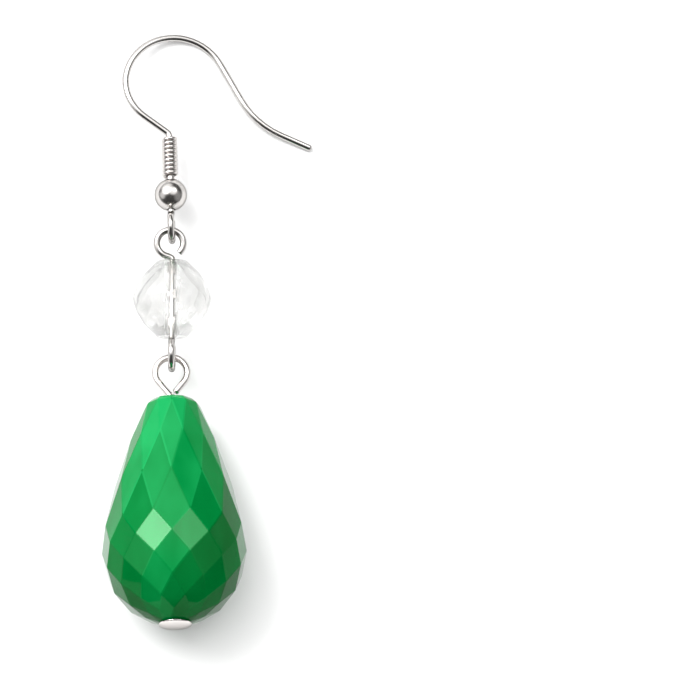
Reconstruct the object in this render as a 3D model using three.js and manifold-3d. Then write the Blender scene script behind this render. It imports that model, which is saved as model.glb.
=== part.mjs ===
// A drop earring laid down on its back: an ear hook with a wound coil and a ball,
// a clear faceted bead on a double loop pin, and a green faceted drop on a head pin.
// Units are millimetres and +Z is up. Each hung piece is built upright in its own group,
// with its pin along Z and its front towards -Y, and the group is then laid back.

import * as THREE from "three";
import { ConvexGeometry } from "three/addons/geometries/ConvexGeometry.js";
import { mergeVertices } from "three/addons/utils/BufferGeometryUtils.js";
import Module from "manifold-3d";

const wasm = await Module();
wasm.setup();

// Sizes of the wires
const wireDiameter = 0.7;
const coilWireDiameter = 0.42;
const coilPlay = 0.04; // between the coil and the wire inside it
const ballPlay = 0.2; // between the ball's hole and the wire, in diameter
const crystalPlay = 0.4;
const dropPlay = 0.3;
const pieceGap = 0.1; // left between pieces that touch on the real earring

// Sizes of the ear hook
const archRadius = 5.2; // middle of the wire
const ballDiameter = 3.3;
const coilTurns = 9;
const coilPitch = 0.46;
const eyeRadius = 1.35; // middle of the wire
const eyeTurnDeg = 80; // from the plane of the arch to the plane of the eye
const hookLeanDeg = 1.9; // of the shank, to the left

// Sizes of the clear bead and its pin
const crystalDiameter = 8.1;
const crystalLength = 7.8;
const upperLoopRadius = 1.35;
const lowerLoopRadius = 1.42;

// Sizes of the drop and its pin
const dropDiameter = 14.46;
const dropLength = 23.4;
const dropLoopRadius = 1.63;
const dropNeckHeight = 0.25; // straight wire above the drop
const headDiameter = 3.3;
const headThickness = 0.3;
const dropLeanDeg = 1.4; // of the drop, its lower end to the right

// Smoothness
const wireSides = 8;
const wireStep = 0.33; // along a wire, between two rings of corners
const coilSides = 6;
const coilSteps = 12; // in each turn
const roundSides = 16;
const ballBands = 12;
const mergeDistance = 1e-5;

// Bends of the hook above its shank, in order: lengths as shares of archRadius
const hookBends = [
  { straight: 0, radius: 0.12, turnDeg: 53.3, side: "left" },
  { straight: 0.55, radius: 0.88, turnDeg: 65.5, side: "right" },
  { straight: 0, radius: 1, turnDeg: 139.9, side: "right" },
  { straight: 0.86, radius: 1.63, turnDeg: 38.1, side: "left" },
];
const hookTail = 0.66;

// How each loop leaves its straight wire: neckDeg away from the loop's own side, on a bend of
// neck times the wire's diameter, then round by sweepDeg. The other lengths are shares of the
// loop's radius, and shift is how far its middle stands off the straight wire.
const eyeShape = { neck: 0.52, neckDeg: 70, sweepDeg: 300, shift: 0, tail: 0 };
const upperShape = { neck: 0.52, neckDeg: 72, sweepDeg: 300, shift: 0.16, tail: 0 };
const lowerShape = { neck: 0.52, neckDeg: 75, sweepDeg: 300, shift: 0, tail: 0 };
const dropShape = { neck: 0.72, neckDeg: 38, sweepDeg: 256, shift: 0.06, tail: 0.95 };

// Rings of facet corners from the top face down: depth as a share of the length, width as a
// share of the diameter. A half turn ring has its corners between those of a whole one.
const crystalSides = 8;
const crystalRings = [
  { depth: 0, width: 0.38, half: true },
  { depth: 0.1603, width: 0.69, half: false },
  { depth: 0.3397, width: 0.9239, half: true },
  { depth: 0.5, width: 1, half: false },
  { depth: 0.6603, width: 0.9239, half: true },
  { depth: 0.8397, width: 0.69, half: false },
  { depth: 1, width: 0.38, half: true },
];
const dropSides = 12;
const restTop = { depth: 0.3859, width: 0.8148, half: false };
const restBottom = { depth: 0.6838, width: 1, half: false };
const dropRings = [
  { depth: 0, width: 0.3142, half: false },
  { depth: 0.0235, width: 0.3907, half: false },
  { depth: 0.1846, width: 0.5997, half: true },
  restTop,
  { depth: 0.5833, width: 0.9706, half: true },
  restBottom,
  { depth: 0.7714, width: 0.9536, half: true },
  { depth: 0.8611, width: 0.8333, half: false },
  { depth: 0.9329, width: 0.6311, half: true },
  { depth: 0.9744, width: 0.403, half: false },
  { depth: 1, width: 0.215, half: true },
];

// The pin's head from the middle of its lower side round to its flat top: out as a share of
// its radius, down as a share of its thickness
const headOutline = [
  { out: 0, down: 1 },
  { out: 0.55, down: 0.9 },
  { out: 0.88, down: 0.66 },
  { out: 1, down: 0.4 },
  { out: 1, down: 0.12 },
  { out: 0.95, down: 0 },
  { out: 0, down: 0 },
];

// Where a hung wire lies in the ring that holds it, as a direction in the YZ plane
const dropHangs = new THREE.Vector2(-0.28, -0.96);
const hookHangs = new THREE.Vector2(-0.64, 0.77);
const layingRounds = 12;

const radians = THREE.MathUtils.degToRad;

// Materials
function finish(color, roughness, metalness) {
  return new THREE.MeshStandardMaterial({ color, roughness, metalness });
}
const silver = () => finish(0xd8d6d4, 0.16, 1);
const clearGlass = () => finish(0xf4f6f6, 0.05, 0);
const greenGlass = () => finish(0x16a050, 0.12, 0);

// A round bend in space that starts at a frame's origin along its Z axis
class Bend extends THREE.Curve {
  constructor(frame, radius, turn, side) {
    super();
    Object.assign(this, { frame, radius, turn, side });
  }
  getPoint(share, target = new THREE.Vector3()) {
    const angle = this.turn * share;
    const away = this.radius * (1 - Math.cos(angle));
    target.set(away * Math.cos(this.side), away * Math.sin(this.side), this.radius * Math.sin(angle));
    return target.applyMatrix4(this.frame);
  }
}

// A wire bent step by step, as on a bench: its frame's Z axis is the way it runs on
class BentWire {
  constructor() {
    this.path = new THREE.CurvePath();
    this.frame = new THREE.Matrix4();
    this.length = 0;
  }
  straight(length) {
    if (length <= 0) return this;
    const start = new THREE.Vector3().setFromMatrixPosition(this.frame);
    this.frame.multiply(new THREE.Matrix4().makeTranslation(0, 0, length));
    const end = new THREE.Vector3().setFromMatrixPosition(this.frame);
    this.path.add(new THREE.LineCurve3(start, end));
    this.length += length;
    return this;
  }
  bend(radius, turnDeg, sideDeg) {
    const turn = radians(turnDeg);
    const side = radians(sideDeg);
    const curve = new Bend(this.frame.clone(), radius, turn, side);
    const end = curve.getPoint(1);
    this.path.add(curve);
    const hingeAxis = new THREE.Vector3(-Math.sin(side), Math.cos(side), 0);
    this.frame.multiply(new THREE.Matrix4().makeRotationAxis(hingeAxis, turn)).setPosition(end);
    this.length += radius * turn;
    return this;
  }
  // A loop on the wire's far end, bent away from sideDeg and then round towards it
  loopOut(loop, sideDeg) {
    this.bend(loop.neckRadius, loop.neckDeg, sideDeg + 180).straight(loop.lead);
    return this.bend(loop.radius, loop.sweepDeg, sideDeg).straight(loop.tail);
  }
  // The same loop on the wire's near end, made before the straight wire
  loopIn(loop, sideDeg) {
    this.straight(loop.tail).bend(loop.radius, loop.sweepDeg, sideDeg);
    return this.straight(loop.lead).bend(loop.neckRadius, loop.neckDeg, sideDeg + 180);
  }
  // The wire's solid, placed so that the marked frame stands upright at the given height
  geometry(diameter, sides, mark, height) {
    const steps = Math.round(this.length / wireStep);
    const section = new THREE.Shape(circlePoints(diameter / 2, sides));
    const settings = { steps, extrudePath: this.path, bevelEnabled: false };
    const tube = new THREE.ExtrudeGeometry(section, settings);
    tube.applyMatrix4(mark.clone().invert());
    return tube.translate(0, 0, height);
  }
}

function circlePoints(radius, sides) {
  return Array.from({ length: sides }, (_, i) => {
    const angle = (2 * Math.PI * i) / sides;
    return new THREE.Vector2(radius * Math.cos(angle), radius * Math.sin(angle));
  });
}

// The lengths of a loop of the given radius, with rise the height of its middle above the
// place where the straight wire starts to bend
function loopOf(radius, shape) {
  const neckRadius = wireDiameter * shape.neck;
  const angle = radians(shape.neckDeg);
  const neckShift = neckRadius * (1 - Math.cos(angle));
  const reach = radius * (Math.cos(angle) + shape.shift) - neckShift;
  const lead = reach / Math.sin(angle);
  const rise = neckRadius * Math.sin(angle) + lead * Math.cos(angle) + radius * Math.sin(angle);
  const { neckDeg, sweepDeg } = shape;
  return { radius, neckRadius, neckDeg, sweepDeg, lead, rise, tail: radius * shape.tail };
}

// Joining and cutting of closed solids
function solidOf(geometry) {
  const bare = geometry.clone();
  bare.deleteAttribute("normal");
  bare.deleteAttribute("uv");
  const merged = mergeVertices(bare, mergeDistance);
  const vertProperties = new Float32Array(merged.attributes.position.array);
  const triVerts = new Uint32Array(merged.index.array);
  return new wasm.Manifold(new wasm.Mesh({ numProp: 3, vertProperties, triVerts }));
}
function geometryOf(solid) {
  const mesh = solid.getMesh();
  const geometry = new THREE.BufferGeometry();
  geometry.setAttribute("position", new THREE.BufferAttribute(mesh.vertProperties, mesh.numProp));
  geometry.setIndex(new THREE.BufferAttribute(mesh.triVerts, 1));
  return geometry;
}

// An upright round rod about the Z axis
function rod(radius, low, high) {
  const geometry = new THREE.CylinderGeometry(radius, radius, high - low, roundSides);
  return geometry.rotateX(Math.PI / 2).translate(0, 0, (low + high) / 2);
}

// A cut bead about the Z axis from low up, drilled from end to end
function facetedBead(rings, sides, diameter, length, low, holeDiameter) {
  const corners = [];
  for (const ring of rings) {
    for (let i = 0; i < sides; i++) {
      const angle = (2 * Math.PI * (i + (ring.half ? 0.5 : 0))) / sides;
      const radius = (ring.width * diameter) / 2;
      const height = low + length * (1 - ring.depth);
      corners.push(new THREE.Vector3(radius * Math.sin(angle), -radius * Math.cos(angle), height));
    }
  }
  const blank = solidOf(new ConvexGeometry(corners));
  const drill = solidOf(rod(holeDiameter / 2, low - length, low + 2 * length));
  return geometryOf(blank.subtract(drill));
}

// The ear hook, with the middle of its eye at the origin
const eye = loopOf(eyeRadius, eyeShape);
const ballLow = eye.rise + 2 * pieceGap;
const coilLow = ballLow + ballDiameter + pieceGap;
const coilHigh = coilLow + coilTurns * coilPitch + coilWireDiameter;
const shankEnd = coilHigh + pieceGap / 2;

// The bent wire, with the places where it will touch the table: the middle of the arch's
// round and the end of the tail
function bendHook() {
  const wire = new BentWire().loopIn(eye, eyeTurnDeg);
  const shankStart = wire.frame.clone();
  const toHook = shankStart.clone().invert();
  const placeOf = (x) => new THREE.Vector3(x, 0, 0).applyMatrix4(wire.frame).applyMatrix4(toHook);
  let archMiddle;
  wire.straight(shankEnd - eye.rise);
  for (const bend of hookBends) {
    wire.straight(bend.straight * archRadius);
    if (bend.radius === 1) archMiddle = placeOf(archRadius);
    wire.bend(bend.radius * archRadius, bend.turnDeg, bend.side === "left" ? 180 : 0);
  }
  wire.straight(hookTail * archRadius);
  const tailEnd = placeOf(0);
  archMiddle.z += eye.rise;
  tailEnd.z += eye.rise;
  const geometry = wire.geometry(wireDiameter, wireSides, shankStart, eye.rise);
  return { geometry, archMiddle, tailEnd };
}

// The wound wire round the shank
class Winding extends THREE.Curve {
  getPoint(share, target = new THREE.Vector3()) {
    const angle = 2 * Math.PI * coilTurns * share;
    const radius = (wireDiameter + coilWireDiameter) / 2 + coilPlay;
    const height = coilLow + coilWireDiameter / 2 + coilPitch * coilTurns * share;
    return target.set(radius * Math.cos(angle), radius * Math.sin(angle), height);
  }
}
function hookCoil() {
  const section = new THREE.Shape(circlePoints(coilWireDiameter / 2, coilSides));
  const steps = coilTurns * coilSteps;
  return new THREE.ExtrudeGeometry(section, { steps, extrudePath: new Winding(), bevelEnabled: false });
}

// The drilled ball: its outline turned about the pin
function hookBall() {
  const radius = ballDiameter / 2;
  const hole = (wireDiameter + ballPlay) / 2;
  const start = Math.asin(hole / radius);
  const profile = [];
  for (let i = 0; i <= ballBands; i++) {
    const angle = start + ((Math.PI - 2 * start) * i) / ballBands;
    profile.push(new THREE.Vector2(radius * Math.sin(angle), -radius * Math.cos(angle)));
  }
  profile.push(profile[0].clone());
  const turned = new THREE.LatheGeometry(profile, roundSides);
  return turned.rotateX(Math.PI / 2).translate(0, 0, ballLow + radius);
}

// The double loop pin through the clear bead, whose middle is at the origin
const upperLoop = loopOf(upperLoopRadius, upperShape);
const lowerLoop = loopOf(lowerLoopRadius, lowerShape);
const pinReach = crystalLength / 2 + pieceGap / 2;

function linkPin() {
  const wire = new BentWire().loopIn(lowerLoop, 90);
  const pinStart = wire.frame.clone();
  wire.straight(2 * pinReach).loopOut(upperLoop, 0);
  return wire.geometry(wireDiameter, wireSides, pinStart, -pinReach);
}

function crystalBead() {
  const low = -crystalLength / 2;
  const hole = wireDiameter + crystalPlay;
  return facetedBead(crystalRings, crystalSides, crystalDiameter, crystalLength, low, hole);
}

// The drop and its head pin, with the drop's lower face at the origin
const dropLoop = loopOf(dropLoopRadius, dropShape);
const dropLoopMiddle = dropLength + dropNeckHeight + dropLoop.rise;

function dropBead() {
  const hole = wireDiameter + dropPlay;
  return facetedBead(dropRings, dropSides, dropDiameter, dropLength, 0, hole);
}

// The pin's round head: flat towards the drop and slightly domed below
function pinHead() {
  const profile = headOutline.map(({ out, down }) => {
    return new THREE.Vector2((out * headDiameter) / 2, -pieceGap - down * headThickness);
  });
  return new THREE.LatheGeometry(profile, roundSides).rotateX(Math.PI / 2);
}

function dropPin() {
  const start = -pieceGap - headThickness / 2;
  const wire = new BentWire();
  const pinStart = wire.frame.clone();
  wire.straight(dropLength + dropNeckHeight - start).loopOut(dropLoop, 0);
  const bent = wire.geometry(wireDiameter, wireSides, pinStart, start);
  return geometryOf(solidOf(bent).add(solidOf(pinHead())));
}

// How far a wire can shift inside a ring of the same wire
function slack(ringRadius) {
  return ringRadius - wireDiameter - pieceGap;
}

// Pieces laid on their back as one group, with the upper end of their pin raised by rise,
// their right side lowered by roll, and the place at height hold on the pin at the origin
function laidBack(pieces, { rise, roll = 0, leanDeg = 0, hold = 0 }) {
  const back = new THREE.Group();
  back.add(...pieces);
  back.rotation.set(rise - Math.PI / 2, 0, roll);
  back.position.set(0, 0, hold).applyEuler(back.rotation).negate();
  const group = new THREE.Group();
  group.add(back);
  group.rotation.z = radians(leanDeg);
  return group;
}

// The drop lies on one of its long facets, so its loop points down towards the table
const restRise = (restBottom.depth - restTop.depth) * dropLength;
const restRun = ((restBottom.width - restTop.width) * dropDiameter) / 2;
const dropTilt = Math.atan2(restRun, restRise);
const restRadius = (restBottom.width * dropDiameter) / 2;
const restHeight = dropLength * (1 - restBottom.depth);
const dropHeight = restRadius * Math.cos(dropTilt) + restHeight * Math.sin(dropTilt);
const dropTip = dropLoopMiddle + dropLoop.radius;

// The clear bead lies on a corner, and its lower loop holds the top of the drop's loop
const crystalRadius = crystalDiameter / 2;
const lowerMiddle = pinReach + lowerLoop.rise;
const lowerSlack = slack(lowerLoopRadius);
const lowerHeight = dropHeight - dropTip * Math.sin(dropTilt) - dropHangs.y * lowerSlack;
const span = Math.hypot(crystalRadius, lowerMiddle);
const linkTilt = Math.acos(lowerHeight / span) - Math.atan2(lowerMiddle, crystalRadius);
const linkHeight = crystalRadius * Math.cos(linkTilt);

function layDrop(pieces) {
  const wireY = dropHangs.x * lowerSlack - lowerMiddle * Math.cos(linkTilt);
  const wireZ = dropHeight - dropTip * Math.sin(dropTilt);
  const group = laidBack(pieces, { rise: -dropTilt, leanDeg: dropLeanDeg, hold: dropTip });
  group.position.set(0, wireY, wireZ);
  return group;
}

function layLink(pieces) {
  const group = laidBack(pieces, { rise: linkTilt });
  group.position.set(0, 0, linkHeight);
  return group;
}

// The hook's eye hangs on the clear bead's upper loop. From there the hook falls by
// slope.x to its right and slope.y along its shank, so that its arch and tail end
// both touch the table.
function layHook(pieces, archMiddle, tailEnd) {
  const upperTip = pinReach + upperLoop.rise + upperLoop.radius;
  const eyeSlack = slack(eyeRadius);
  const eyeY = upperTip * Math.cos(linkTilt) - hookHangs.x * eyeSlack;
  const eyeZ = linkHeight + upperTip * Math.sin(linkTilt) - hookHangs.y * eyeSlack;
  const fall = eyeZ - wireDiameter / 2;
  const area = archMiddle.x * tailEnd.z - tailEnd.x * archMiddle.z;
  const slope = new THREE.Vector2(0, 0);
  for (let i = 0; i < layingRounds; i++) {
    const archFall = fall - slope.length() * archRadius;
    slope.x = (archFall * tailEnd.z - fall * archMiddle.z) / area;
    slope.y = (archMiddle.x * fall - tailEnd.x * archFall) / area;
  }
  const sink = Math.asin(slope.y);
  const roll = Math.asin(slope.x / Math.cos(sink));
  const group = laidBack(pieces, { rise: -sink, roll, leanDeg: hookLeanDeg });
  group.position.set(-pieceGap, eyeY, eyeZ);
  return group;
}

// The whole earring
function piece(name, geometry, material) {
  const mesh = new THREE.Mesh(geometry, material);
  mesh.name = name;
  return mesh;
}

function hookGroup() {
  const wire = bendHook();
  const pieces = [
    piece("ear_hook", wire.geometry, silver()),
    piece("hook_coil", hookCoil(), silver()),
    piece("hook_ball", hookBall(), silver()),
  ];
  return layHook(pieces, wire.archMiddle, wire.tailEnd);
}

function linkGroup() {
  return layLink([
    piece("link_pin", linkPin(), silver()),
    piece("crystal_bead", crystalBead(), clearGlass()),
  ]);
}

function dropGroup() {
  return layDrop([
    piece("drop_pin", dropPin(), silver()),
    piece("drop_bead", dropBead(), greenGlass()),
  ]);
}

// The origin is the middle of the footprint, on the table
const earring = new THREE.Group();
const laidOut = new THREE.Group();
laidOut.add(hookGroup(), linkGroup(), dropGroup());
const box = new THREE.Box3().setFromObject(laidOut, true);
const middle = box.getCenter(new THREE.Vector3());
laidOut.position.set(-middle.x, -middle.y, -box.min.z);
earring.add(laidOut);

export default earring;
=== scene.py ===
"""A drop earring laid on its back on a pale table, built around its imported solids.

Sizes are in metres where no comment says otherwise, in the frame of the solids: +Z is up
and +Y runs from the drop towards the ear hook. Every piece stands where its solid stands
and takes its place.
"""

import math

import bmesh
import bpy
from bpy.props import FloatProperty, FloatVectorProperty, IntProperty, PointerProperty
from mathutils import Matrix, Vector


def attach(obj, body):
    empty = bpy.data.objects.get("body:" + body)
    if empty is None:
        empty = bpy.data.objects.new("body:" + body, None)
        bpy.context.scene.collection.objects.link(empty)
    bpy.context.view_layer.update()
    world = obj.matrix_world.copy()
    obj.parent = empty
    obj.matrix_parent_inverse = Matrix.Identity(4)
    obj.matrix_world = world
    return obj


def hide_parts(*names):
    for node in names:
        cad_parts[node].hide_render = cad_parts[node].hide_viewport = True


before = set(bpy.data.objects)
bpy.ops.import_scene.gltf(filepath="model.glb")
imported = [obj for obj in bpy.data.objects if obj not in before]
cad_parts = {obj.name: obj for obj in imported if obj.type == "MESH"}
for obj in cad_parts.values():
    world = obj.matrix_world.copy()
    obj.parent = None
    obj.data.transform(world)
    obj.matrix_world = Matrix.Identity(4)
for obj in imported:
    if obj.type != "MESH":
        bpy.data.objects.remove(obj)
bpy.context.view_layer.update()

bl_info = {
    "name": "Drop earring",
    "version": (1, 0, 0),
    "blender": (4, 5, 0),
    "location": "3D View > Sidebar > Earring",
    "description": "Builds a drop earring with its ear hook, clear bead and green drop",
    "category": "Object",
}

# Bends of the hook above its shank, in order: straight run and radius as shares of the
# arch's radius, turn in degrees, and the side the wire turns to
HOOK_BENDS = [
    {"straight": 0, "radius": 0.12, "turn": 53.3, "side": "left"},
    {"straight": 0.55, "radius": 0.88, "turn": 65.5, "side": "right"},
    {"straight": 0, "radius": 1, "turn": 139.9, "side": "right"},
    {"straight": 0.86, "radius": 1.63, "turn": 38.1, "side": "left"},
]
HOOK_TAIL = 0.66

# How each loop leaves its straight wire: the neck's radius in wire diameters and its turn
# in degrees, the loop's sweep in degrees, and shift and tail as shares of the loop's radius
LOOP_SHAPES = {
    "eye": {"neck": 0.52, "neck_turn": 70, "sweep": 300, "shift": 0, "tail": 0},
    "upper": {"neck": 0.52, "neck_turn": 72, "sweep": 300, "shift": 0.16, "tail": 0},
    "lower": {"neck": 0.52, "neck_turn": 75, "sweep": 300, "shift": 0, "tail": 0},
    "drop": {"neck": 0.72, "neck_turn": 38, "sweep": 256, "shift": 0.06, "tail": 0.95},
}

# Rings of facet corners from the upper face down: depth as a share of the length, width as
# a share of the diameter, and whether the corners lie between those of a whole ring
CRYSTAL_RINGS = [
    (0, 0.38, True),
    (0.1603, 0.69, False),
    (0.3397, 0.9239, True),
    (0.5, 1, False),
    (0.6603, 0.9239, True),
    (0.8397, 0.69, False),
    (1, 0.38, True),
]
DROP_RINGS = [
    (0, 0.3142, False),
    (0.0235, 0.3907, False),
    (0.1846, 0.5997, True),
    (0.3859, 0.8148, False),
    (0.5833, 0.9706, True),
    (0.6838, 1, False),
    (0.7714, 0.9536, True),
    (0.8611, 0.8333, False),
    (0.9329, 0.6311, True),
    (0.9744, 0.403, False),
    (1, 0.215, True),
]
CRYSTAL_SIDES = 12
DROP_SIDES = 12

# Painted light and shade in the drop's green, from 0 to 1: how light it is painted at the
# upper end, and how much darker it is painted towards the lower end, with plain waves around
# the drop and along it that set lit and shaded facets apart. A wave starts at the given degrees.
PAINTED_LIGHT_TOP = 0.76
PAINTED_SHADE_FALL = 0.6
PAINTED_LIGHT_WAVES = [
    {"around": 2, "along": 0, "start": 30, "light": 0.2},
    {"around": 5, "along": 9, "start": 0, "light": 0.15},
]

# Where each group lies that was built upright: the place of its own origin in millimetres,
# and the turns in degrees that lay it back on the table
PLACES = {
    "hook": {"at": (-3.85, 10.296, 3.9664), "lean": 1.9, "back": 98.71, "roll": 8.969},
    "link": {"at": (-3.75, 2.8983, 4.0452), "lean": 0, "back": 87.199, "roll": 0},
    "drop": {"at": (-3.0727, -30.6792, 8.496), "lean": 1.4, "back": 100.873, "roll": 0},
}
MM = 0.001

# How finely round things are made: degrees for each step of a bend and its fewest steps,
# sides and steps in a turn of the coil's wire, sides and rings of the ball, and sides of a
# drilled hole
BEND_STEP = 7
FEWEST_STEPS = 3
COIL_SIDES = 16
COIL_STEPS = 36
BALL_SIDES = 64
BALL_RINGS = 48
HOLE_SIDES = 48

# Length of the drill's bit, as a share of the piece's height, so that it cuts right through
BIT_LENGTH = 1.5

# A wire's rounded end: how far it reaches as a share of the diameter, and at most as a share
# of the straight run behind it
END_ROUND = 0.42
END_ROOM = 0.9
END_STEPS = 5

# The pin's head: the rim's height and the bevel at its upper edge as shares of the thickness,
# the upper face and the dome's tip as shares of the width
HEAD_RIM = 0.2
HEAD_BEVEL = 0.12
HEAD_FACE = 0.95
HEAD_TIP = 0.05
HEAD_STEPS = 9
HEAD_SIDES = 64

# Folds in degrees: faces that fold less than the first are one face, a level or upright fold
# under the second stays inside one facet, and edges above the others are shaded sharp
FLAT_FOLD = 0.5
FACET_FOLD = 20
BEAD_SHARP = 30
WIRE_SHARP = 40
COIL_SHARP = 50

# Faces across a polished edge between two facets
EDGE_STEPS = 2

# What counts as nothing: the distance between corners that are merged and the rise of a
# level edge, in metres, and the area between an upright edge and the axis, in square metres
MERGED = 1e-7
LEVEL = 1e-6
UPRIGHT = 1e-9

# How many waves each finish's patterns have in a metre
TARNISH = 900
WIRE_MARKS = 6000
CLEAR_WAVES = 500
CLEAR_HAZE = 1800
GREEN_SWIRL = 300
GREEN_FACET_WAVES = 420
GREEN_HAZE = 2500
TABLE_GRAIN = 30

# How much light silver gives back where it is seen edge on
WIRE_RIM = 0.25
PIN_RIM = 0.35

# Strength of the drop's clear polish, from a facet seen face on, at 0, to edge on, at 1
GREEN_POLISH = [(0, 0.53), (0.34, 0.12), (0.5, 0.15), (0.62, 0.35), (0.78, 0.95)]

# Softboxes: direction from the lit spot, distance and width in metres, brightness, and
# whether glossy surfaces mirror them
SOFTBOXES = [
    {"name": "key", "way": (-0.47, 0.39, 0.79), "away": 1.2, "width": 0.66, "light": 10.5,
     "mirrored": True},
    {"name": "side", "way": (0.46, 0.46, 0.76), "away": 1.2, "width": 0.5, "light": 2.2,
     "mirrored": True},
    {"name": "above", "way": (0, 0, 1), "away": 1.5, "width": 3.2, "light": 1.75,
     "mirrored": False},
]
LIT_SPOT = (-0.0037, -0.019, 0.005)

# Glows in the room: direction, half angles in degrees where they end and where they are
# full, and brightness above the room's own
ROOM_LIGHT = 0.06
GLOWS = [
    {"way": (-0.42, 0.78, 0.46), "outer": 44, "inner": 14, "light": 1.25},
    {"way": (-0.88, -0.10, 0.47), "outer": 30, "inner": 8, "light": 0.9},
    {"way": (-0.45, 0.38, 0.81), "outer": 34, "inner": 22, "light": 1.4},
    {"way": (0.30, 0.35, 0.89), "outer": 34, "inner": 18, "light": 1.4},
    {"way": (0.85, -0.25, 0.45), "outer": 40, "inner": 15, "light": 0.3},
]
# The room's light fades out between these heights, given as the upward part of a direction
HORIZON = {"low": 0.03, "high": 0.22}

# The camera's sensor in millimetres, and the nearest and farthest that it sees in metres
SENSOR_WIDTH = 36
NEAREST = 0.05
FARTHEST = 10


def length(name, description, default, precision=5):
    """A length in metres."""
    return FloatProperty(
        name=name, description=description, default=default, min=0, unit="LENGTH",
        precision=precision,
    )


def colour(name, description, default):
    """A colour in linear light."""
    return FloatVectorProperty(
        name=name, description=description, default=default, size=3, min=0, max=1, subtype="COLOR"
    )


def share(name, description, default):
    """A share between 0 and 1."""
    return FloatProperty(
        name=name, description=description, default=default, min=0, max=1, subtype="FACTOR"
    )


class EarringWires(bpy.types.PropertyGroup):
    """Sizes of the bent wires"""

    wire: length("Wire", "Diameter of the bent wires", 0.0007)
    coil_wire: length("Coil wire", "Diameter of the wire wound around the shank", 0.00042)
    coil_play: length("Coil play", "Room between the coil and the shank", 0.00004)
    gap: length("Gap", "Room left between pieces that touch", 0.0001)
    sides: IntProperty(name="Sides", description="Sides of a wire's section", default=24, min=8)
    arch: length("Arch radius", "Radius of the hook's arch", 0.0052)
    ball: length("Ball", "Diameter of the ball", 0.0033)
    ball_hole: length("Ball hole", "Diameter of the hole through the ball", 0.0009)
    coil_turns: IntProperty(name="Coil turns", description="Turns of the coil", default=9, min=1)
    coil_pitch: length("Coil pitch", "Height of one turn of the coil", 0.00046)
    eye: length("Eye radius", "Radius of the hook's eye", 0.00135)
    upper: length("Upper loop", "Radius of the loop above the clear bead", 0.00135)
    lower: length("Lower loop", "Radius of the loop below the clear bead", 0.00142)
    drop: length("Drop loop", "Radius of the loop above the drop", 0.00163)
    neck: length("Neck", "Straight wire above the drop", 0.00025)
    head: length("Head", "Diameter of the pin's head", 0.0033)
    head_thickness: length("Head thickness", "Thickness of the pin's head", 0.0003)


class EarringBeads(bpy.types.PropertyGroup):
    """Sizes of the two glass beads"""

    crystal: length("Clear bead", "Diameter of the clear bead", 0.0081)
    crystal_length: length("Clear bead length", "Length of the clear bead", 0.0078)
    crystal_hole: length("Clear bead hole", "Diameter of the hole in the clear bead", 0.0011)
    drop: length("Drop", "Diameter of the drop", 0.01446)
    drop_length: length("Drop length", "Length of the drop", 0.0234)
    drop_hole: length("Drop hole", "Diameter of the hole in the drop", 0.001)
    edge: length("Facet edge", "Width of the polished edge between two facets", 0.0002)


class EarringColours(bpy.types.PropertyGroup):
    """Colours and gloss of the finishes"""

    silver: colour("Silver", "Colour of the polished wire", (0.62, 0.598, 0.58))
    # Pale silver is the silver made lighter, painted light that makes the coil and the head pin
    # look brighter
    pale: colour("Pale silver", "Colour of the thin wire and the head pin", (0.74, 0.705, 0.685))
    silver_gloss: share("Silver roughness", "Roughness of the polished wire", 0.14)
    ball_gloss: share("Ball roughness", "Roughness of the polished ball", 0.22)
    clear: colour("Clear glass", "Colour of the clear bead", (0.955, 0.955, 0.95))
    # Lit, middle and shaded greens of the drop: the painted light and shade of its facets is mixed
    # from them
    light: colour("Light green", "Colour of the drop where light passes", (0.008, 0.255, 0.068))
    green: colour("Green", "Colour of the drop's body", (0.0, 0.137, 0.026))
    shaded_green: colour("Deep green", "Colour of the drop's depths", (0.0, 0.072, 0.010))
    table: colour("Table", "Colour of the table", (0.65, 0.65, 0.65))


class EarringStage(bpy.types.PropertyGroup):
    """Camera and lights"""

    elevation: FloatProperty(
        name="Elevation", description="Angle of the camera above the table",
        default=math.radians(79.5), subtype="ANGLE",
    )
    distance: length("Distance", "From the camera to the point it looks at", 0.50588)
    aim: FloatVectorProperty(
        name="Aim", description="Point that the camera looks at", size=3,
        default=(0.01325, -0.00118, 0.00329), subtype="XYZ", unit="LENGTH", precision=5,
    )
    lens: FloatProperty(name="Lens", description="Focal length in millimetres", default=264.7)
    table: length("Table", "Width of the table", 3.0, 2)


# Shapes


def deselect():
    """Leaves edit mode and selects nothing."""
    if bpy.context.object and bpy.context.object.mode != "OBJECT":
        bpy.ops.object.mode_set(mode="OBJECT")
    bpy.ops.object.select_all(action="DESELECT")


def place_of(group):
    """The matrix that lays a group built upright along Z back on the table."""
    lay = PLACES[group]
    lean = Matrix.Rotation(math.radians(lay["lean"]), 4, "Z")
    back = Matrix.Rotation(-math.radians(lay["back"]), 4, "X")
    roll = Matrix.Rotation(math.radians(lay["roll"]), 4, "Z")
    return Matrix.Translation(Vector(lay["at"]) * MM) @ lean @ back @ roll


def bend_matrix(radius, turn, side):
    """The move from a bend's start to its end; side is the way that it turns to."""
    hinge = Vector((-math.sin(side), math.cos(side), 0))
    away = radius * (1 - math.cos(turn))
    reach = Vector((away * math.cos(side), away * math.sin(side), radius * math.sin(turn)))
    return Matrix.Translation(reach) @ Matrix.Rotation(turn, 4, hinge)


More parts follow.
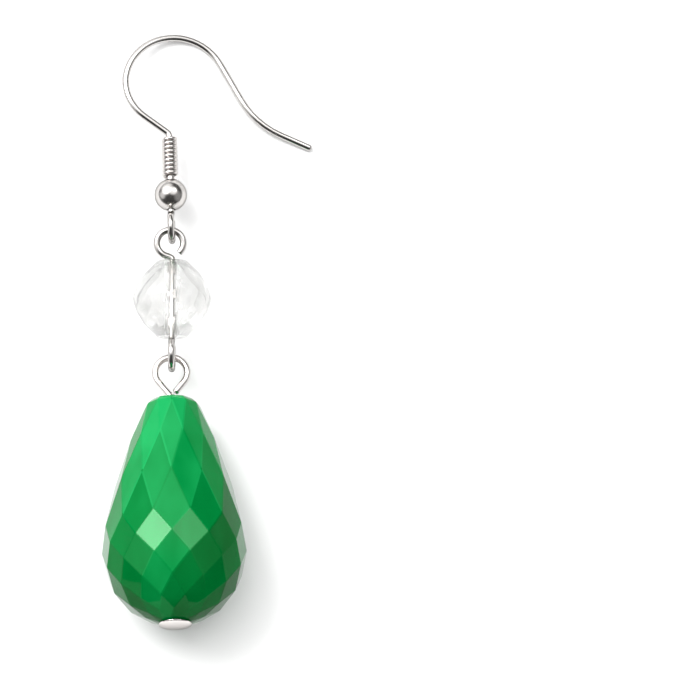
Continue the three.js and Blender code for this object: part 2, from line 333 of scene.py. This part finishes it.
class WirePath:
    """A wire bent step by step; the Z axis of its frame is the way it runs on."""

    def __init__(self):
        self.steps = []
        self.frame = Matrix.Identity(4)

    def add(self, radius, turn, side, run):
        """Goes straight on by run, then bends by turn around the given side."""
        self.steps.append((radius, turn, side, run))
        self.frame = self.frame @ Matrix.Translation((0, 0, run)) @ bend_matrix(radius, turn, side)
        return self

    def straight(self, run):
        return self.add(0, 0, 0, run) if run > 0 else self

    def bend(self, radius, degrees, side_degrees):
        return self.add(radius, math.radians(degrees), math.radians(side_degrees), 0)

    def loop_out(self, loop, side):
        self.bend(loop["neck"], loop["neck_turn"], side + 180).straight(loop["lead"])
        return self.bend(loop["radius"], loop["sweep"], side).straight(loop["tail"])

    def loop_in(self, loop, side):
        self.straight(loop["tail"]).bend(loop["radius"], loop["sweep"], side)
        return self.straight(loop["lead"]).bend(loop["neck"], loop["neck_turn"], side + 180)


def loop_of(radius, wire, shape):
    """The lengths of a loop; rise is how far its middle stands above the neck's start."""
    neck = wire * shape["neck"]
    angle = math.radians(shape["neck_turn"])
    reach = radius * (math.cos(angle) + shape["shift"]) - neck * (1 - math.cos(angle))
    lead = reach / math.sin(angle)
    rise = neck * math.sin(angle) + lead * math.cos(angle) + radius * math.sin(angle)
    return dict(shape, radius=radius, neck=neck, lead=lead, rise=rise, tail=radius * shape["tail"])


def wire_piece(name, path, mark, place, diameter, sides):
    """A round wire along the path, with its marked frame standing at the given place."""
    start = place @ mark.inverted()
    at, turned, _ = start.decompose()
    deselect()
    bpy.ops.mesh.primitive_circle_add(
        vertices=sides, radius=diameter / 2, fill_type="NGON", location=at,
        rotation=turned.to_euler(),
    )
    piece = bpy.context.object
    piece.name = name
    bpy.ops.object.transform_apply(location=True, rotation=True, scale=True)
    bpy.ops.object.mode_set(mode="EDIT")
    bpy.ops.mesh.select_all(action="SELECT")
    here = start
    for radius, turn, side, run in path.steps:
        if run:
            ahead = here @ Matrix.Translation((0, 0, run))
            move = {"value": ahead.translation - here.translation}
            bpy.ops.mesh.extrude_region_move(TRANSFORM_OT_translate=move)
        else:
            ahead = here @ bend_matrix(radius, turn, side)
            hub = here @ Vector((radius * math.cos(side), radius * math.sin(side), 0))
            hinge = here.to_3x3() @ Vector((-math.sin(side), math.cos(side), 0))
            steps = max(FEWEST_STEPS, math.ceil(turn / math.radians(BEND_STEP)))
            bpy.ops.mesh.spin(steps=steps, angle=-turn, center=hub, axis=hinge)
        here = ahead
    round_ends(piece, diameter, sides)
    tip = here.translation
    if min((corner.co - tip).length for corner in piece.data.vertices) > diameter:
        raise RuntimeError(name + " was bent the wrong way")
    return piece


def round_ends(piece, diameter, sides):
    """Rounds a wire's two cut ends as far as the next bend allows, and turns its faces out."""
    bpy.ops.mesh.select_all(action="SELECT")
    bpy.ops.mesh.remove_doubles(threshold=MERGED)
    bpy.ops.mesh.normals_make_consistent(inside=False)
    mesh = bmesh.from_edit_mesh(piece.data)
    ends = [face.calc_center_median() for face in mesh.faces if len(face.verts) == sides]
    for end in ends:
        mesh = bmesh.from_edit_mesh(piece.data)
        caps = [face for face in mesh.faces if len(face.verts) == sides]
        cap = min(caps, key=lambda face: (face.calc_center_median() - end).length)
        rim = set(cap.edges)
        runs = [run for corner in cap.verts for run in corner.link_edges if run not in rim]
        room = min(run.calc_length() for run in runs)
        bpy.ops.mesh.select_all(action="DESELECT")
        cap.select_set(True)
        bmesh.update_edit_mesh(piece.data)
        offset = min(diameter * END_ROUND, room * END_ROOM)
        bpy.ops.mesh.bevel(offset=offset, segments=END_STEPS, affect="EDGES")
    bpy.ops.object.mode_set(mode="OBJECT")


def bead_piece(name, rings, sides, diameter, low, tall, hole, place, edge):
    """A cut bead: a hull over its rings of corners, with polished edges and a drilled hole."""
    deselect()
    for count, (depth, width, half) in enumerate(rings):
        turn = math.pi / sides if half else 0
        height = low + tall * (1 - depth)
        bpy.ops.mesh.primitive_circle_add(
            vertices=sides, radius=width * diameter / 2, location=(0, 0, height),
            rotation=(0, 0, turn),
        )
        if count == 0:
            piece = bpy.context.object
            piece.name = name
            bpy.ops.object.transform_apply(location=True, rotation=True, scale=True)
            bpy.ops.object.mode_set(mode="EDIT")
    hull()
    bpy.ops.mesh.select_all(action="DESELECT")
    bpy.ops.mesh.select_mode(type="EDGE")
    mesh = bmesh.from_edit_mesh(piece.data)
    for rim in mesh.edges:
        rim.select_set(facet_edge(rim))
    bmesh.update_edit_mesh(piece.data)
    bpy.ops.mesh.bevel(offset=edge / 2, segments=EDGE_STEPS, affect="EDGES")
    bpy.ops.mesh.select_mode(type="VERT")
    bpy.ops.object.mode_set(mode="OBJECT")
    drill(piece, hole, low + tall / 2, tall)
    set_down(piece, place)
    return piece


def hull():
    """Stretches one closed skin over all the corners in edit mode, with whole flat faces."""
    bpy.ops.mesh.select_all(action="SELECT")
    bpy.ops.mesh.convex_hull(join_triangles=False)
    bpy.ops.mesh.select_all(action="SELECT")
    bpy.ops.mesh.dissolve_limited(angle_limit=math.radians(FLAT_FOLD))
    bpy.ops.mesh.normals_make_consistent(inside=False)


def facet_edge(rim):
    """Whether an edge parts two facets; a fold across one facet runs level or straight up."""
    first, second = (corner.co for corner in rim.verts)
    level = abs(first.z - second.z) < LEVEL
    upright = abs(first.x * second.y - first.y * second.x) < UPRIGHT
    return rim.calc_face_angle(0) > math.radians(FACET_FOLD) or not (level or upright)


def drill(piece, hole, middle, tall):
    """Cuts a round hole along Z through the piece."""
    deselect()
    bpy.ops.mesh.primitive_cylinder_add(
        vertices=HOLE_SIDES, radius=hole / 2, depth=tall * BIT_LENGTH, location=(0, 0, middle)
    )
    bit = bpy.context.object
    deselect()
    bpy.context.view_layer.objects.active = piece
    piece.select_set(True)
    cut = piece.modifiers.new("Hole", "BOOLEAN")
    cut.object = bit
    cut.operation = "DIFFERENCE"
    cut.solver = "EXACT"
    bpy.ops.object.modifier_apply(modifier=cut.name)
    bpy.data.objects.remove(bit)


def set_down(piece, place):
    """Lays an upright piece in its place and keeps the place in its mesh."""
    deselect()
    piece.matrix_world = place
    bpy.context.view_layer.objects.active = piece
    piece.select_set(True)
    bpy.ops.object.transform_apply(location=True, rotation=True, scale=True)


def soften(piece, degrees):
    """Smooth shading, with sharp edges kept above the given angle."""
    deselect()
    bpy.context.view_layer.objects.active = piece
    piece.select_set(True)
    bpy.ops.object.shade_smooth_by_angle(angle=math.radians(degrees))


def level_facets(piece):
    """Lets each large facet keep its own normal up to its polished edges."""
    even = piece.modifiers.new("Facets", "WEIGHTED_NORMAL")
    even.mode = "FACE_AREA"
    even.weight = 100
    even.keep_sharp = True
    bpy.context.view_layer.objects.active = piece
    bpy.ops.object.modifier_apply(modifier=even.name)


def hand_over(piece, node, material):
    """Gives a finished piece its material and puts it in the place of its solid."""
    piece.data.materials.clear()
    piece.data.materials.append(material)
    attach(piece, "root")
    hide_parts(node)


# Finishes


class Value:
    """A socket that adds Math nodes when it is calculated with."""

    def __init__(self, sheet, socket):
        self.sheet = sheet
        self.socket = socket

    def __add__(self, other):
        return self.sheet.math("ADD", self, other)

    def __sub__(self, other):
        return self.sheet.math("SUBTRACT", self, other)

    def __rsub__(self, other):
        return self.sheet.math("SUBTRACT", other, self)

    def __mul__(self, other):
        return self.sheet.math("MULTIPLY", self, other)

    __radd__ = __add__
    __rmul__ = __mul__


class Sheet:
    """A sheet of shader nodes."""

    def __init__(self, tree):
        self.tree = tree
        self.tree.nodes.clear()

    def node(self, kind, settings=None, output=0, **inputs):
        """Adds a node; an input is named by its socket, or by i and the socket's number."""
        node = self.tree.nodes.new("ShaderNode" + kind)
        for key, value in (settings or {}).items():
            if key == "stops":
                self.stops(node.color_ramp, value)
            else:
                setattr(node, key, value)
        for key, value in inputs.items():
            slot = int(key[1:]) if key[0] == "i" and key[1:].isdigit() else key.replace("_", " ")
            socket = node.inputs[slot]
            if isinstance(value, Value):
                self.tree.links.new(value.socket, socket)
            else:
                socket.default_value = value
        return Value(self, node.outputs[output])

    def stops(self, ramp, stops):
        """Sets a colour ramp's stops, given as places and colours."""
        while len(ramp.elements) < len(stops):
            ramp.elements.new(0.5)
        for element, (place, shade) in zip(ramp.elements, stops):
            element.position = place
            element.color = shade

    def math(self, operation, a, b):
        return self.node("Math", {"operation": operation}, i0=a, i1=b)

    def mix(self, factor, a, b):
        return self.node("Mix", {"data_type": "RGBA"}, output=2, i0=factor, i6=a, i7=b)

    def noise(self, scale, detail=2, stretch=(1, 1, 1)):
        """An even noise on the piece's own coordinates, slower where stretch is small."""
        place = self.node("Mapping", Vector=self.node("TexCoord", output=3), Scale=stretch)
        return self.node("TexNoise", Vector=place, Scale=scale, Detail=detail)

    def clamp(self, value):
        return self.node("Clamp", Value=value)


class Finish(Sheet):
    """A material's sheet of nodes."""

    def __init__(self, name):
        self.material = bpy.data.materials.new(name)
        self.material.use_nodes = True
        super().__init__(self.material.node_tree)

    def done(self, shader):
        """Joins the shader to the output and gives the material."""
        end = self.tree.nodes.new("ShaderNodeOutputMaterial")
        self.tree.links.new(shader.socket, end.inputs["Surface"])
        return self.material


def rgba(shade):
    """A property's colour for a socket."""
    return (*shade, 1)


def grey(light):
    """An even grey for a socket or a ramp."""
    return (light, light, light, 1)


def silver_finish(name, silver, gloss, rim=WIRE_RIM):
    """Polished silver-coloured wire with faint marks, a trace of tarnish and darker rims."""
    sheet = Finish(name)
    tarnish = sheet.noise(TARNISH, 3)
    marks = sheet.noise(WIRE_MARKS)
    dull = tuple(part * 0.9 for part in silver)
    shade = sheet.mix(sheet.clamp(tarnish * 1.6 - 0.5), rgba(silver), rgba(dull))
    roughness = tarnish * 0.1 + marks * 0.04 + (gloss - 0.07)
    bump = sheet.node("Bump", Strength=0.06, Distance=0.00001, Height=marks)
    return sheet.done(sheet.node(
        "BsdfPrincipled", Base_Color=shade, Metallic=1.0, Roughness=roughness, Normal=bump,
        Specular_Tint=grey(rim),
    ))


def clear_finish(name, colours):
    """Clear polished glass with a faint waviness in its facets."""
    sheet = Finish(name)
    waves = sheet.noise(CLEAR_WAVES, stretch=(1, 0.4, 1))
    roughness = sheet.noise(CLEAR_HAZE) * 0.03 + 0.005
    bump = sheet.node("Bump", Strength=0.04, Distance=0.0003, Height=waves)
    glass = sheet.node(
        "BsdfPrincipled", Base_Color=rgba(colours.clear), Roughness=roughness, Normal=bump,
        IOR=1.45, Transmission_Weight=1.0,
    )
    through = sheet.node("BsdfTransparent", Color=rgba(colours.clear))
    return sheet.done(sheet.node("MixShader", i0=0.4, i1=glass, i2=through))


def green_finish(name, colours):
    """Milky green glass under a clear polish; each facet's green holds painted light and shade."""
    sheet = Finish(name)
    # The facet attribute holds painted light and shade; a random swirl is added to it below
    depth = sheet.node("Attribute", {"attribute_name": "facet_depth"}, output=2)
    swirl = sheet.noise(GREEN_SWIRL, stretch=(1, 0.3, 1))
    painted_shade = sheet.clamp(depth + (swirl - 0.5) * 0.5)
    # The shaded green goes over into the green up to half the painted tone, and that into the lit
    # green
    upper = sheet.mix(sheet.clamp(painted_shade * 2 - 1), rgba(colours.green), rgba(colours.light))
    shade = sheet.mix(sheet.clamp(painted_shade * 2), rgba(colours.shaded_green), upper)
    roughness = sheet.noise(GREEN_HAZE) * 0.05 + 0.17
    waves = sheet.noise(GREEN_FACET_WAVES, 1)
    bump = sheet.node("Bump", Strength=0.04, Distance=0.0002, Height=waves)
    facing = sheet.node("LayerWeight", output=1, Blend=0.5)
    stops = [(place, grey(strength)) for place, strength in GREEN_POLISH]
    polish = sheet.node("ValToRGB", {"stops": stops}, i0=facing)
    glass = sheet.node(
        "BsdfPrincipled", Base_Color=shade, Metallic=0.11, Roughness=roughness, Normal=bump,
        Specular_IOR_Level=0.0, Coat_Weight=polish, Coat_Roughness=0.02, Coat_IOR=1.5,
    )
    return sheet.done(glass)


def table_finish(name, colours):
    """A smooth pale table."""
    sheet = Finish(name)
    grain = sheet.noise(TABLE_GRAIN, 3)
    darker = tuple(part * 0.985 for part in colours.table)
    shade = sheet.mix(grain, rgba(colours.table), rgba(darker))
    return sheet.done(sheet.node("BsdfPrincipled", Base_Color=shade, Roughness=0.9))


# Pieces


def settings():
    """The scene's wires, beads, colours and stage."""
    scene = bpy.context.scene
    return scene.earring_wires, scene.earring_beads, scene.earring_colours, scene.earring_stage


def loops():
    """The four loops by name."""
    wires = settings()[0]
    radii = {"eye": wires.eye, "upper": wires.upper, "lower": wires.lower, "drop": wires.drop}
    return {name: loop_of(radius, wires.wire, LOOP_SHAPES[name]) for name, radius in radii.items()}


def hook_heights():
    """Heights along the shank: the ball's low end, the coil's low end and the shank's end."""
    wires = settings()[0]
    ball_low = loops()["eye"]["rise"] + 2 * wires.gap
    coil_low = ball_low + wires.ball + wires.gap
    shank_end = coil_low + wires.coil_turns * wires.coil_pitch + wires.coil_wire + wires.gap / 2
    return ball_low, coil_low, shank_end


def raised(group, height):
    """The place of something that stands at a height in a group built upright."""
    return place_of(group) @ Matrix.Translation((0, 0, height))


class EARRING_OT_hook(bpy.types.Operator):
    """Bend the ear hook from one round wire"""

    bl_idname = "earring.hook"
    bl_label = "Ear hook"

    def execute(self, context):
        wires, _, colours, _ = settings()
        eye = loops()["eye"]
        shank_end = hook_heights()[2]
        path = WirePath().loop_in(eye, 80)
        mark = path.frame.copy()
        path.straight(shank_end - eye["rise"])
        for bend in HOOK_BENDS:
            path.straight(bend["straight"] * wires.arch)
            side = 180 if bend["side"] == "left" else 0
            path.bend(bend["radius"] * wires.arch, bend["turn"], side)
        path.straight(HOOK_TAIL * wires.arch)
        place = raised("hook", eye["rise"])
        piece = wire_piece("hook_wire", path, mark, place, wires.wire, wires.sides)
        soften(piece, WIRE_SHARP)
        silver = silver_finish("hook_silver", colours.silver, colours.silver_gloss)
        hand_over(piece, "ear_hook", silver)
        return {"FINISHED"}


class EARRING_OT_coil(bpy.types.Operator):
    """Wind the thin wire around the shank"""

    bl_idname = "earring.coil"
    bl_label = "Coil"

    def execute(self, context):
        wires, _, colours, _ = settings()
        low = hook_heights()[1]
        radius = (wires.wire + wires.coil_wire) / 2 + wires.coil_play
        deselect()
        bpy.ops.mesh.primitive_circle_add(
            vertices=COIL_SIDES, radius=wires.coil_wire / 2,
            location=(radius, 0, low + wires.coil_wire / 2), rotation=(math.pi / 2, 0, 0),
        )
        piece = bpy.context.object
        piece.name = "hook_winding"
        bpy.ops.object.transform_apply(location=True, rotation=True, scale=True)
        wind = piece.modifiers.new("Winding", "SCREW")
        wind.angle = 2 * math.pi * wires.coil_turns
        wind.screw_offset = wires.coil_pitch * wires.coil_turns
        wind.steps = wind.render_steps = COIL_STEPS * wires.coil_turns
        bpy.ops.object.modifier_apply(modifier=wind.name)
        bpy.ops.object.mode_set(mode="EDIT")
        bpy.ops.mesh.select_all(action="SELECT")
        bpy.ops.mesh.fill_holes(sides=0)
        bpy.ops.mesh.normals_make_consistent(inside=False)
        bpy.ops.object.mode_set(mode="OBJECT")
        set_down(piece, place_of("hook"))
        soften(piece, COIL_SHARP)
        # The coil takes the lighter silver: painted light
        silver = silver_finish("coil_silver", colours.pale, colours.silver_gloss)
        hand_over(piece, "hook_coil", silver)
        return {"FINISHED"}


class EARRING_OT_ball(bpy.types.Operator):
    """Make the drilled ball below the coil"""

    bl_idname = "earring.ball"
    bl_label = "Ball"

    def execute(self, context):
        wires, _, colours, _ = settings()
        middle = hook_heights()[0] + wires.ball / 2
        deselect()
        bpy.ops.mesh.primitive_uv_sphere_add(
            segments=BALL_SIDES, ring_count=BALL_RINGS, radius=wires.ball / 2,
            location=(0, 0, middle),
        )
        piece = bpy.context.object
        piece.name = "hook_bead"
        bpy.ops.object.transform_apply(location=True, rotation=True, scale=True)
        drill(piece, wires.ball_hole, middle, wires.ball)
        set_down(piece, place_of("hook"))
        soften(piece, WIRE_SHARP)
        silver = silver_finish("ball_silver", colours.silver, colours.ball_gloss)
        hand_over(piece, "hook_ball", silver)
        return {"FINISHED"}


class EARRING_OT_link_pin(bpy.types.Operator):
    """Bend the double loop pin of the clear bead"""

    bl_idname = "earring.link_pin"
    bl_label = "Double loop pin"

    def execute(self, context):
        wires, beads, colours, _ = settings()
        reach = beads.crystal_length / 2 + wires.gap / 2
        path = WirePath().loop_in(loops()["lower"], 90)
        mark = path.frame.copy()
        path.straight(2 * reach).loop_out(loops()["upper"], 0)
        place = raised("link", -reach)
        piece = wire_piece("link_wire", path, mark, place, wires.wire, wires.sides)
        soften(piece, WIRE_SHARP)
        silver = silver_finish("link_silver", colours.silver, colours.silver_gloss)
        hand_over(piece, "link_pin", silver)
        return {"FINISHED"}


class EARRING_OT_drop_pin(bpy.types.Operator):
    """Bend the head pin of the drop"""

    bl_idname = "earring.drop_pin"
    bl_label = "Head pin"

    def execute(self, context):
        wires, beads, colours, _ = settings()
        start = -wires.gap - wires.head_thickness / 2
        path = WirePath()
        mark = path.frame.copy()
        path.straight(beads.drop_length + wires.neck - start).loop_out(loops()["drop"], 0)
        wire = wire_piece("drop_wire", path, mark, raised("drop", start), wires.wire, wires.sides)
        head = self.head(wires)
        deselect()
        head.select_set(True)
        wire.select_set(True)
        bpy.context.view_layer.objects.active = wire
        bpy.ops.object.join()
        soften(wire, WIRE_SHARP)
        # The head pin takes the lighter silver: painted light
        silver = silver_finish("pin_silver", colours.pale, colours.silver_gloss, PIN_RIM)
        hand_over(wire, "drop_pin", silver)
        return {"FINISHED"}

    def head(self, wires):
        """The round head: a low dome over a thin rim, made as a hull over its rings."""
        deselect()
        for step in range(HEAD_STEPS + 1):
            bulge = math.sin(math.pi / 2 * step / HEAD_STEPS)
            depth = wires.gap + wires.head_thickness * (HEAD_RIM + (1 - HEAD_RIM) * bulge)
            width = max(math.sqrt(1 - bulge ** 2), HEAD_TIP)
            self.ring(wires.head / 2 * width, -depth)
        head = bpy.context.object
        self.ring(wires.head / 2, -wires.gap - wires.head_thickness * HEAD_BEVEL)
        self.ring(wires.head / 2 * HEAD_FACE, -wires.gap)
        hull()
        bpy.ops.object.mode_set(mode="OBJECT")
        set_down(head, place_of("drop"))
        return head

    def ring(self, radius, height):
        """Adds a ring of corners to the head, and starts the head with the first."""
        bpy.ops.mesh.primitive_circle_add(
            vertices=HEAD_SIDES, radius=radius, location=(0, 0, height)
        )
        if bpy.context.object.mode == "OBJECT":
            bpy.ops.object.transform_apply(location=True, rotation=True, scale=True)
            bpy.ops.object.mode_set(mode="EDIT")


class EARRING_OT_crystal(bpy.types.Operator):
    """Cut the clear bead"""

    bl_idname = "earring.crystal"
    bl_label = "Clear bead"

    def execute(self, context):
        _, beads, colours, _ = settings()
        piece = bead_piece(
            "clear_bead", CRYSTAL_RINGS, CRYSTAL_SIDES, beads.crystal, -beads.crystal_length / 2,
            beads.crystal_length, beads.crystal_hole, place_of("link"), beads.edge,
        )
        soften(piece, BEAD_SHARP)
        level_facets(piece)
        hand_over(piece, "crystal_bead", clear_finish("clear_glass", colours))
        return {"FINISHED"}


class EARRING_OT_drop(bpy.types.Operator):
    """Cut the green drop"""

    bl_idname = "earring.drop"
    bl_label = "Green drop"

    def execute(self, context):
        _, beads, colours, _ = settings()
        piece = bead_piece(
            "green_drop", DROP_RINGS, DROP_SIDES, beads.drop, 0, beads.drop_length,
            beads.drop_hole, place_of("drop"), beads.edge,
        )
        soften(piece, BEAD_SHARP)
        level_facets(piece)
        # Paints light and shade into each facet's green
        self.paint_facet_light_and_shade(piece, beads)
        hand_over(piece, "drop_bead", green_finish("green_glass", colours))
        return {"FINISHED"}

    def paint_facet_light_and_shade(self, piece, beads):
        """Paints light and shade into the drop's green: one painted tone for each facet, lighter at
        the upper end and darker towards the lower end.
        """
        depth = piece.data.attributes.new("facet_depth", "FLOAT", "FACE")
        upright = place_of("drop").inverted()
        for face, spot in zip(piece.data.polygons, depth.data):
            at = upright @ face.center
            turn = math.atan2(at.x, -at.y)
            # A facet is widest at a ring whose corners lie beside its middle
            half = round(turn * DROP_SIDES / math.pi) % 2 == 1
            rings = [ring for ring, _, between in DROP_RINGS if between != half]
            ring = min(rings, key=lambda ring: abs(ring - 1 + at.z / beads.drop_length))
            # Painted shade: lighter at the upper end, darker towards the lower end, with waves that
            # make some facets lit and others shaded
            painted_shade = PAINTED_LIGHT_TOP - PAINTED_SHADE_FALL * ring
            for wave in PAINTED_LIGHT_WAVES:
                swing = wave["around"] * turn + wave["along"] * ring + math.radians(wave["start"])
                painted_shade += wave["light"] * math.cos(swing)
            spot.value = painted_shade


class EARRING_OT_stage(bpy.types.Operator):
    """Lay the table and set the camera and the lights"""

    bl_idname = "earring.stage"
    bl_label = "Table, camera and lights"

    def execute(self, context):
        _, _, colours, stage = settings()
        self.lay_table(colours, stage)
        self.set_camera(context, stage)
        self.set_lights()
        self.set_surroundings(context)
        return {"FINISHED"}

    def lay_table(self, colours, stage):
        """The pale table, level with the lowest points of the earring."""
        deselect()
        bpy.ops.mesh.primitive_grid_add(x_subdivisions=8, y_subdivisions=8, size=stage.table)
        table = bpy.context.object
        table.name = "table"
        table.data.materials.append(table_finish("pale_table", colours))

    def set_camera(self, context, stage):
        """A long lens that looks almost straight down, from a little beyond the drop."""
        rise = stage.elevation
        back = Vector((0, -math.cos(rise), math.sin(rise)))
        up = Vector((0, math.sin(rise), math.cos(rise)))
        turned = Matrix((Vector((1, 0, 0)), up, back)).transposed().to_4x4()
        bpy.ops.object.camera_add()
        camera = context.object
        camera.name = "camera"
        camera.matrix_world = Matrix.Translation(Vector(stage.aim) + back * stage.distance) @ turned
        camera.data.lens = stage.lens
        camera.data.sensor_width = SENSOR_WIDTH
        camera.data.clip_start = NEAREST
        camera.data.clip_end = FARTHEST
        context.scene.camera = camera

    def set_lights(self):
        """Round softboxes around the drop, each turned to face it."""
        for box in SOFTBOXES:
            bpy.ops.object.light_add(type="AREA")
            lamp = bpy.context.object
            lamp.name = "softbox_" + box["name"]
            lamp.visible_glossy = box["mirrored"]
            lamp.data.shape = "DISK"
            lamp.data.size = box["width"]
            lamp.data.energy = box["light"] * math.pi * math.pi * box["width"] * box["width"] / 4
            way = Vector(box["way"]).normalized()
            turned = way.to_track_quat("Z", "Y").to_matrix().to_4x4()
            lamp.matrix_world = Matrix.Translation(Vector(LIT_SPOT) + way * box["away"]) @ turned

    def set_surroundings(self, context):
        """A dim room with soft glows above, which goes dark towards the horizon."""
        world = bpy.data.worlds.new("room")
        world.use_nodes = True
        sheet = Sheet(world.node_tree)
        smooth = {"interpolation_type": "SMOOTHSTEP"}
        way = sheet.node("TexCoord", output=0)
        light = ROOM_LIGHT
        for glow in GLOWS:
            facing = sheet.node(
                "VectorMath", {"operation": "DOT_PRODUCT"}, output=1, i0=way, i1=glow["way"]
            )
            light = sheet.node(
                "MapRange", smooth, Value=facing, To_Max=glow["light"],
                From_Min=math.cos(math.radians(glow["outer"])),
                From_Max=math.cos(math.radians(glow["inner"])),
            ) + light
        height = sheet.node("SeparateXYZ", output=2, Vector=way)
        above = sheet.node(
            "MapRange", smooth, Value=height, From_Min=HORIZON["low"], From_Max=HORIZON["high"]
        )
        room = sheet.node("Background", Color=grey(1), Strength=light * above)
        end = sheet.tree.nodes.new("ShaderNodeOutputWorld")
        sheet.tree.links.new(room.socket, end.inputs["Surface"])
        context.scene.world = world
        context.scene.view_settings.view_transform = "Standard"


class EARRING_PT_panel(bpy.types.Panel):
    """Sizes, colours and steps of the drop earring"""

    bl_idname = "EARRING_PT_panel"
    bl_label = "Drop earring"
    bl_space_type = "VIEW_3D"
    bl_region_type = "UI"
    bl_category = "Earring"

    def draw(self, context):
        for step in STEPS:
            self.layout.operator(step.bl_idname)
        for group in settings():
            box = self.layout.box()
            for name in group.__annotations__:
                box.prop(group, name)


STEPS = [
    EARRING_OT_hook,
    EARRING_OT_coil,
    EARRING_OT_ball,
    EARRING_OT_link_pin,
    EARRING_OT_drop_pin,
    EARRING_OT_crystal,
    EARRING_OT_drop,
    EARRING_OT_stage,
]
GROUPS = {
    "earring_wires": EarringWires,
    "earring_beads": EarringBeads,
    "earring_colours": EarringColours,
    "earring_stage": EarringStage,
}


def register():
    for name, group in GROUPS.items():
        bpy.utils.register_class(group)
        setattr(bpy.types.Scene, name, PointerProperty(type=group))
    for step in STEPS:
        bpy.utils.register_class(step)
    bpy.utils.register_class(EARRING_PT_panel)


def unregister():
    bpy.utils.unregister_class(EARRING_PT_panel)
    for step in reversed(STEPS):
        bpy.utils.unregister_class(step)
    for name, group in GROUPS.items():
        delattr(bpy.types.Scene, name)
        bpy.utils.unregister_class(group)


def main():
    register()
    for step in STEPS:
        family, name = step.bl_idname.split(".")
        getattr(getattr(bpy.ops, family), name)()


if __name__ == "__main__":
    main()
